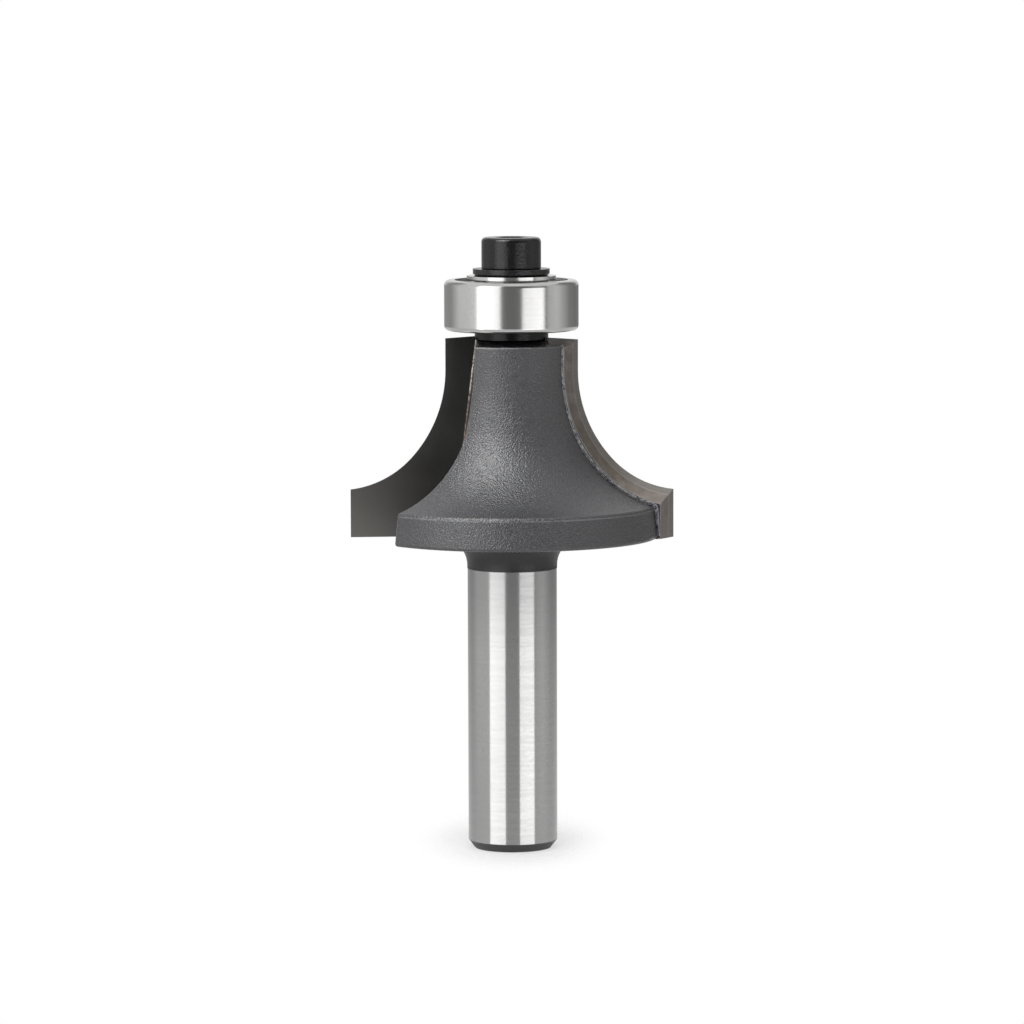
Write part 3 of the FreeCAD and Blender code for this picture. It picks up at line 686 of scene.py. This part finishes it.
def relief_colour(tree, place, height, depth, marks):
    """Clearance face: brown, with a light land at the cutting edge and a painted highlight along the heel at
    the seat.
    """
    colour = ramp(tree, noise(tree, place, RELIEF_CLOUD, 4.0, 0.65), RELIEF_STOPS)
    colour = tint(tree, colour, band(tree, height, *OLIVE_BAND), RELIEF_OLIVE, amount=0.5)
    colour = tint(tree, colour, smooth_step(tree, height, *ROSY_HEIGHTS), RELIEF_ROSY, amount=0.45)
    colour = tint(tree, colour, smooth_step(tree, depth, *LAND_DEPTHS), RELIEF_LAND, amount=0.65)
    colour = blend(tree, between(tree, marks, 0.0, 0.4), colour, RELIEF_MARKS)
    colour = tint(tree, colour, band(tree, depth, *FACET_BAND), RELIEF_FACET, amount=0.4)
    colour = blend(tree, smooth_step(tree, depth, *BACK_DEPTHS), colour, TIP_BACK)
    # Painted highlight on the heel's edge
    heel = times(tree, smooth_step(tree, depth, *HEEL_DEPTHS), edge_share(tree, HEEL_CORNER, 0.01, 0.12))
    return tint(tree, colour, heel, RELIEF_HEEL_HIGHLIGHT, amount=0.9)


def rake_colour(tree, place, height, outward):
    """Rake face: near black, with painted shade beside the core and a painted reflection of the floor at its
    low outer corner.
    """
    colour = clouded(tree, noise(tree, place, RAKE_CLOUD, 4.0), RAKE_DARK, RAKE_LIGHT)
    # Painted shade beside the core
    inner = times(tree, smooth_step(tree, outward, *INNER_OUTWARD),
                  smooth_step(tree, height, *INNER_HEIGHTS))
    colour = tint(tree, colour, inner, RAKE_PAINTED_SHADE, amount=0.6)
    # Painted reflection of the floor, low and outward
    low = times(tree, smooth_step(tree, height, *LOW_HEIGHTS), smooth_step(tree, outward, *LOW_OUTWARD))
    return blend(tree, low, colour, RAKE_PAINTED_REFLECTION)


def make_carbide(name, side):
    """Ground carbide: a dark rake face, and a browner clearance face with a light land at the edge."""
    material, tree, shader = new_material(name, Anisotropic=0.3)
    place = object_place(tree)
    local = turned(tree, place, -(side + HOOK))
    parts = parts_of(tree, local)
    height = parts["Z"]
    depth = times(tree, plus(tree, parts["Y"], RAKE_OFFSET), -1.0)
    rake_share = smooth_step(tree, depth, *RAKE_DEPTHS)
    speckle = noise(tree, place, CARBIDE_SPECKLE, 2.0)
    # Grinding marks run from the cutting edge towards the body, and upright on the rake face
    marks = streaks(tree, local, CARBIDE_MARKS)
    upright = streaks(tree, local, CARBIDE_UPRIGHT)
    colour = blend(tree, rake_share, relief_colour(tree, place, height, depth, marks),
                   rake_colour(tree, place, height, parts["X"]))
    colour = blend(tree, between(tree, speckle, 0.0, 0.3), colour, grey(CARBIDE_SPECKS))
    # Painted highlight: the edges are lightened
    colour = tint(tree, colour, edge_share(tree, CARBIDE_CORNER), grey(CARBIDE_EDGE_HIGHLIGHT), amount=0.4)
    relief = plus(tree, times(tree, upright, rake_share), times(tree, marks, rest_of(tree, rake_share)))
    wire(tree, shader,
         Base_Color=colour,
         Metallic=between(tree, rake_share, *CARBIDE_METAL),
         Roughness=between(tree, speckle, *CARBIDE_ROUGH),
         Normal=bumped(tree, relief, CARBIDE_RELIEF))
    return material


def make_braze_material(name, stops, low_stops, turn, seam=0.0):
    """Silver braze with heat tints: stops are its colours, and low_stops those below the turn.

    The seam is how dark a broken line runs along the middle of a bead."""
    material, tree, shader = new_material(name)
    place = object_place(tree)
    height = parts_of(tree, place)["Z"]
    tints = noise(tree, place, BRAZE_TINTS, 2.0, 0.6)
    colour = blend(tree, smooth_step(tree, height, *turn), ramp(tree, tints, stops),
                   ramp(tree, tints, low_stops))
    across = node(tree, "ShaderNodeAttribute", attribute_name="across").outputs["Fac"]
    broken = smooth_step(tree, noise(tree, place, BRAZE_BREAKS, 2.0), *BREAK_RANGE)
    middle = times(tree, band(tree, across, *SEAM_BAND), broken)
    wire(tree, shader,
         Base_Color=tint(tree, colour, middle, BRAZE_SEAM, amount=seam),
         Metallic=between(tree, tints, *BRAZE_METAL),
         Roughness=between(tree, noise(tree, place, BRAZE_HAZE), *BRAZE_ROUGH),
         Normal=bumped(tree, noise(tree, place, BRAZE_LUMPS), BRAZE_RELIEF))
    return material


def dress(names, material):
    """Give CAD pieces a material."""
    for name in names:
        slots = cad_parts[name].data.materials
        slots.clear()
        slots.append(material)


# Beads of braze

def wing_turn(side):
    """The turn from the frame of a tip to the frame of the bit."""
    return Matrix.Rotation(side + HOOK, 3, "Z")


def to_wing(side, out, behind, up):
    """A point given along the rake face, behind it, and by its height, in the frame of the bit."""
    point = wing_turn(side) @ Vector((out, -behind - RAKE_OFFSET, 0.0))
    return Vector((point.x, point.y, up))


def wing_corners(name, side):
    """Each corner of a piece as (outward, behind the rake face, height)."""
    back = wing_turn(side).inverted()
    corners = []
    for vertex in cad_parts[name].data.vertices:
        local = back @ vertex.co
        corners.append((local.x, -(local.y + RAKE_OFFSET), vertex.co.z))
    return corners


def seat_edge(side):
    """Where the body's outer surface meets the seat behind a tip, from the top down."""
    corners = set()
    for out, behind, height in wing_corners("cutter_body", side):
        if abs(behind - SEAT_DEPTH) < TOUCH and out > 0 and FLANGE_BOTTOM < height < CORE_RIM:
            corners.add((height, out))
    edge = []
    for height, out in sorted(corners, reverse=True):
        if not edge or out > edge[-1][0] - 0.1 * TOUCH:
            edge.append((out, height))
    return edge


def inner_edge(name, side):
    """The end of a tip nearest the axis on its rake face, from the top down."""
    face = [(out, height) for out, behind, height in wing_corners(name, side) if abs(behind) < TOUCH]
    top = min(face)
    bottom = min(point for point in face if point[1] < FLANGE_BOTTOM + 10 * TOUCH)
    return [top, bottom]


def spaced(line, step):
    """Points along a line of corners, no further apart than a step."""
    points = [line[0]]
    for first, second in zip(line, line[1:]):
        parts = max(1, round(math.dist(first, second) / step))
        for index in range(1, parts + 1):
            share = index / parts
            points.append(tuple(a + (b - a) * share for a, b in zip(first, second)))
    return points


def evened(line, reach):
    """The line with each point moved to the mean of its neighbours within a reach."""
    points = []
    last = len(line) - 1
    for index in range(len(line)):
        near = min(reach, index, last - index)
        group = line[index - near:index + near + 1]
        points.append(tuple(sum(part) / len(group) for part in zip(*group)))
    return points


def line_normals(line, reach=2):
    """At each point of a line of (outward, height), the direction away from the body."""
    normals = []
    last = len(line) - 1
    for index in range(len(line)):
        before = line[max(0, index - reach)]
        after = line[min(last, index + reach)]
        along = Vector((after[0] - before[0], after[1] - before[1])).normalized()
        normals.append((-along.y, along.x))
    return normals


def rope_ring(mesh, centre, outward, square, size):
    """One ring of a rope; each corner keeps how far across it lies, 0 to 2."""
    across = mesh.verts.layers.float["across"]
    ring = []
    for index in range(BEAD_SIDES):
        angle = 2 * math.pi * index / BEAD_SIDES
        offset = outward * math.cos(angle) * size + square * math.sin(angle) * size * BEAD_FLATNESS
        corner = mesh.verts.new(centre + offset)
        corner[across] = 1.0 + math.cos(angle)
        ring.append(corner)
    return ring


def join_rings(mesh, rings):
    """Faces from ring to ring, and a cap at each end."""
    for first, second in zip(rings, rings[1:]):
        for index in range(BEAD_SIDES):
            after = (index + 1) % BEAD_SIDES
            mesh.faces.new((first[index], first[after], second[after], second[index]))
    mesh.faces.new(rings[0])
    mesh.faces.new(rings[-1][::-1])
    bmesh.ops.recalc_face_normals(mesh, faces=mesh.faces)


def placed(name, mesh):
    """An object made of a finished mesh."""
    data = bpy.data.meshes.new(name)
    mesh.to_mesh(data)
    mesh.free()
    piece = bpy.data.objects.new(name, data)
    bpy.context.scene.collection.objects.link(piece)
    return piece


def rope(name, centres, outwards, square, widths, seed):
    """A lumpy rope of braze; at each centre, outwards and square span its cross-section."""
    chance = random.Random(seed)
    mesh = bmesh.new()
    mesh.verts.layers.float.new("across")
    rings = []
    for centre, outward, width in zip(centres, outwards, widths):
        size = width * (BEAD_LEAST + BEAD_SPREAD * chance.random())
        rings.append(rope_ring(mesh, centre, outward, square, size))
    join_rings(mesh, rings)
    piece = placed(name, mesh)
    for polygon in piece.data.polygons:
        polygon.use_smooth = True
    smooth = piece.modifiers.new("smooth", "SUBSURF")
    smooth.levels = 1
    smooth.render_levels = 1
    return piece


def size_at(sizes, height):
    """Shift and half width at a height, between the two rows of sizes about it."""
    for (top, *upper), (foot, *lower) in zip(sizes, sizes[1:]):
        if height >= foot:
            share = min(1.0, (top - height) / (top - foot))
            return [a + (b - a) * max(0.0, share) for a, b in zip(upper, lower)]
    return sizes[-1][1:]


def make_bead(name, side, line, behind, sizes, material, seed):
    """Bead of braze beside a line of (outward, height) points."""
    turn = wing_turn(side)
    path = evened(spaced(line, BEAD_STEP), BEAD_EVENING)
    centres = []
    outwards = []
    widths = []
    for (out, up), (across, rise) in zip(path, line_normals(path)):
        shift, width = size_at(sizes, up)
        centres.append(to_wing(side, out + across * shift, behind, up + rise * shift))
        outwards.append(turn @ Vector((across, 0.0, 0.0)) + Vector((0.0, 0.0, rise)))
        widths.append(width)
    piece = rope(name, centres, outwards, turn @ Vector((0, 1, 0)), widths, seed)
    piece.data.materials.append(material)
    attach(piece, "cutter")


def make_tip_beads(hand, side, seed):
    """The braze that shows behind a tip and along its inner end."""
    make_bead(f"braze_bead_{hand}", side, seat_edge(side), BACK_BEAD_DEPTH, BACK_BEAD, grey_braze, seed)
    make_bead(f"braze_line_{hand}", side, inner_edge(f"carbide_tip_{hand}", side), INNER_BEAD_DEPTH,
              INNER_BEAD, straw_braze, seed + 1)


# Studio

def round_share(degrees):
    """How much of a full turn an angle is."""
    return degrees / 360.0


def wall_material():
    """Grey studio walls, lighter beyond the soft boxes and darkest behind the camera."""
    material, tree = bare_material("studio_wall")
    parts = parts_of(tree, object_place(tree))
    height = parts["Z"]
    angle = calc(tree, "ARCTAN2", parts["X"], times(tree, parts["Y"], -1.0))
    share = plus(tree, calc(tree, "DIVIDE", angle, 2 * math.pi), 0.5)
    stops = [(0.5 + round_share(degrees), grey(tone)) for degrees, tone in WALL_TONES]
    tones = ramp(tree, share, stops)
    behind = calc(tree, "ABSOLUTE", calc(tree, "SUBTRACT", share, 0.5))
    above = times(tree, smooth_step(tree, behind, *map(round_share, ABOVE_ANGLES)),
                  smooth_step(tree, height, *ABOVE_HEIGHTS))
    tones = blend(tree, above, tones, grey(ABOVE_TONE))
    low, high = [0.5 + round_share(degrees) for degrees in BESIDE_ANGLES]
    beside = times(tree, band(tree, share, low, high, round_share(BESIDE_SOFT)),
                   smooth_step(tree, height, *BESIDE_HEIGHTS))
    tones = blend(tree, beside, tones, grey(BESIDE_TONE))
    tones = blend(tree, smooth_step(tree, height, *BOUNCE_HEIGHTS), tones, grey(BOUNCE_TONE))
    glow = node(tree, "ShaderNodeEmission", {"Color": tones, "Strength": 1.0})
    node(tree, "ShaderNodeOutputMaterial", {"Surface": glow.outputs[0]})
    return material


def only_reflected(piece):
    """Studio fittings show in reflections and stay out of every picture's background."""
    piece.visible_camera = False
    piece.visible_diffuse = False
    piece.visible_shadow = False
    piece.visible_volume_scatter = False


def make_wall():
    """Round wall about the set."""
    mesh = bmesh.new()
    columns = []
    for index in range(WALL_PANELS):
        angle = 2 * math.pi * index / WALL_PANELS
        x = WALL_RADIUS * math.cos(angle)
        y = WALL_RADIUS * math.sin(angle)
        columns.append((mesh.verts.new((x, y, WALL_LOW)), mesh.verts.new((x, y, WALL_HIGH))))
    for index, (low, high) in enumerate(columns):
        next_low, next_high = columns[(index + 1) % WALL_PANELS]
        mesh.faces.new((low, next_low, next_high, high))
    wall = placed("studio_wall", mesh)
    wall.data.materials.append(wall_material())
    only_reflected(wall)


def area_light(name, width, tall, radiance, azimuth, rise, distance, lift=0.0):
    """Soft light of a plain radiance, turned towards the axis of the bit; angles in degrees."""
    light = bpy.data.lights.new(name, "AREA")
    light.shape = "RECTANGLE"
    light.size = width
    light.size_y = tall
    light.energy = radiance * math.pi * width * tall
    piece = bpy.data.objects.new(name, light)
    bpy.context.scene.collection.objects.link(piece)
    turn = math.radians(azimuth)
    level = math.radians(rise)
    away = Vector((math.sin(turn) * math.cos(level), -math.cos(turn) * math.cos(level), math.sin(level)))
    piece.location = Vector((0.0, 0.0, lift)) + distance * away
    piece.rotation_mode = "QUATERNION"
    piece.rotation_quaternion = away.to_track_quat("Z", "Y")
    piece.visible_camera = False
    return piece


def soft_box(name, azimuth, half_angle, high, radiance):
    """Tall soft box on the floor of the studio."""
    width = 2 * BOX_DISTANCE * math.tan(math.radians(half_angle))
    lift = (high + BOX_LOW) / 2
    return area_light(name, width, high - BOX_LOW, radiance, azimuth, 0.0, BOX_DISTANCE, lift)


def make_lights():
    """A soft box each side of the camera, one behind the bit, a key high on the left and a top light."""
    soft_box("left_box", LEFT_ANGLE, LEFT_HALF_ANGLE, LEFT_HIGH, LEFT_RADIANCE)
    soft_box("right_box", RIGHT_ANGLE, RIGHT_HALF_ANGLE, RIGHT_HIGH, RIGHT_RADIANCE)
    key = area_light("key", KEY_SIZE, KEY_SIZE, KEY_RADIANCE, KEY_ANGLE, KEY_RISE, KEY_DISTANCE)
    back = soft_box("back_box", BACK_ANGLE, BACK_HALF_ANGLE, BACK_HIGH, BACK_RADIANCE)
    back.visible_glossy = False
    top = area_light("top", TOP_SIZE, TOP_SIZE, TOP_RADIANCE, 0.0, TOP_RISE, TOP_DISTANCE)
    return key, top


def light_group(name, pieces, state):
    """The pieces that a light is kept to, or kept away from."""
    group = bpy.data.collections.new(name)
    for piece in pieces:
        group.objects.link(piece)
    for member in group.collection_objects:
        member.light_linking.link_state = state
    return group


def floor_material():
    """Pale and part clear: it holds the soft shadow, and clears away from the shank's end."""
    material, tree = bare_material("floor_sheet")
    about = node(tree, "ShaderNodeVectorMath", {0: object_place(tree), 1: FLOOR_CENTRE}, operation="SUBTRACT")
    oval = node(tree, "ShaderNodeVectorMath", {0: about.outputs[0], 1: FLOOR_REACH}, operation="DIVIDE")
    distance = node(tree, "ShaderNodeVectorMath", {0: oval.outputs[0]}, operation="LENGTH")
    share = smooth_step(tree, distance.outputs["Value"], FLOOR_CLEAR_TO, FLOOR_CLEAR_FROM)
    through = between(tree, share, 1.0, 1.0 - FLOOR_SHARE)
    pale = times(tree, share, FLOOR_SHARE / FLOOR_LEVEL)
    matte = node(tree, "ShaderNodeBsdfDiffuse", {"Color": pale})
    clear = node(tree, "ShaderNodeBsdfTransparent", {"Color": through})
    both = node(tree, "ShaderNodeAddShader", {0: clear.outputs[0], 1: matte.outputs[0]})
    node(tree, "ShaderNodeOutputMaterial", {"Surface": both.outputs[0]})
    return material


def make_floor(key, top):
    """Thin sheet over white.

    The top light falls on it in place of the key, so the shadow lies evenly about the shank. The key
    also leaves out the bearing's outer ring, so its rim stays dull."""
    bpy.ops.mesh.primitive_plane_add(size=2 * FLOOR_HALF)
    floor = bpy.context.active_object
    floor.name = "floor_sheet"
    floor.data.materials.append(floor_material())
    without_key = [floor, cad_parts["bearing_outer_ring"]]
    key.light_linking.receiver_collection = light_group("not_the_key", without_key, "EXCLUDE")
    top.light_linking.receiver_collection = light_group("only_the_top", [floor], "INCLUDE")


def make_world():
    """White for the camera, for reflections and through clear things; a plain level for matte surfaces."""
    world = bpy.data.worlds.new("studio")
    bpy.context.scene.world = world
    world.use_nodes = True
    tree = world.node_tree
    tree.nodes.clear()
    path = node(tree, "ShaderNodeLightPath")
    seen = largest(tree, path.outputs["Is Camera Ray"], path.outputs["Is Glossy Ray"])
    seen = largest(tree, seen, path.outputs["Is Transmission Ray"])
    level = node(tree, "ShaderNodeBackground", {"Color": (*grey(1.0), 1.0), "Strength": AMBIENT})
    white = node(tree, "ShaderNodeBackground", {"Color": (*grey(1.0), 1.0), "Strength": 1.0})
    mixed = node(tree, "ShaderNodeMixShader", {0: seen, 1: level.outputs[0], 2: white.outputs[0]})
    node(tree, "ShaderNodeOutputWorld", {"Surface": mixed.outputs[0]})


def make_camera():
    """The camera that took the photograph."""
    data = bpy.data.cameras.new("camera")
    data.sensor_width = SENSOR_WIDTH
    data.lens = FOCAL_PIXELS / PICTURE_PIXELS * SENSOR_WIDTH
    data.clip_start = CAMERA_NEAR
    data.clip_end = CAMERA_FAR
    camera = bpy.data.objects.new("camera", data)
    bpy.context.scene.collection.objects.link(camera)
    pitch = Matrix.Rotation(math.radians(CAMERA_PITCH), 4, "X")
    roll = Matrix.Rotation(math.radians(CAMERA_ROLL), 4, "Z")
    camera.matrix_world = Matrix.Translation(CAMERA_PLACE) @ pitch @ roll
    bpy.context.scene.camera = camera


dress(["cutter_body"], make_body_material())
dress(["carbide_tip_right"], make_carbide("carbide_right", 0.0))
dress(["carbide_tip_left"], make_carbide("carbide_left", math.pi))
grey_braze = make_braze_material("braze_metal", GREY_BRAZE, VIOLET_BRAZE, VIOLET_TURN, SEAM_DARKNESS)
straw_braze = make_braze_material("braze_straw", STRAW_BRAZE, BROWN_BRAZE, BROWN_TURN)
dress(["braze_joint_right", "braze_joint_left"], grey_braze)
dress(["bearing_outer_ring"], make_ring_material("outer_ring_steel"))
dress(["bearing_inner_ring"], make_ring_material("inner_ring_steel"))
dress(["shim_ring"], make_ring_material("shim_steel", SHIM_TONE))
dress(["bearing_shield_upper", "bearing_shield_lower"], make_plain_steel("shield_steel", 0.5, 0.28))
dress(["bearing_cage_upper", "bearing_cage_lower"], make_plain_steel("cage_steel", 0.45, 0.3))
BALLS = [f"bearing_ball_{index + 1}" for index in range(BALL_COUNT)]
dress(BALLS, make_plain_steel("ball_steel", 0.75, 0.08))
# Painted shade: the spacer's tone is set darker than the screw's, for the shade under the bearing
dress(["bearing_spacer"], make_black_oxide("spacer_black", 0.0015, 0.32))
dress(["screw_washer"], make_black_oxide("washer_black", 0.006))
dress(["cap_screw"], make_black_oxide("screw_black"))
make_tip_beads("right", 0.0, 11)
make_tip_beads("left", math.pi, 21)

make_world()
make_wall()
make_floor(*make_lights())
make_camera()
bpy.context.scene.view_settings.view_transform = "Standard"
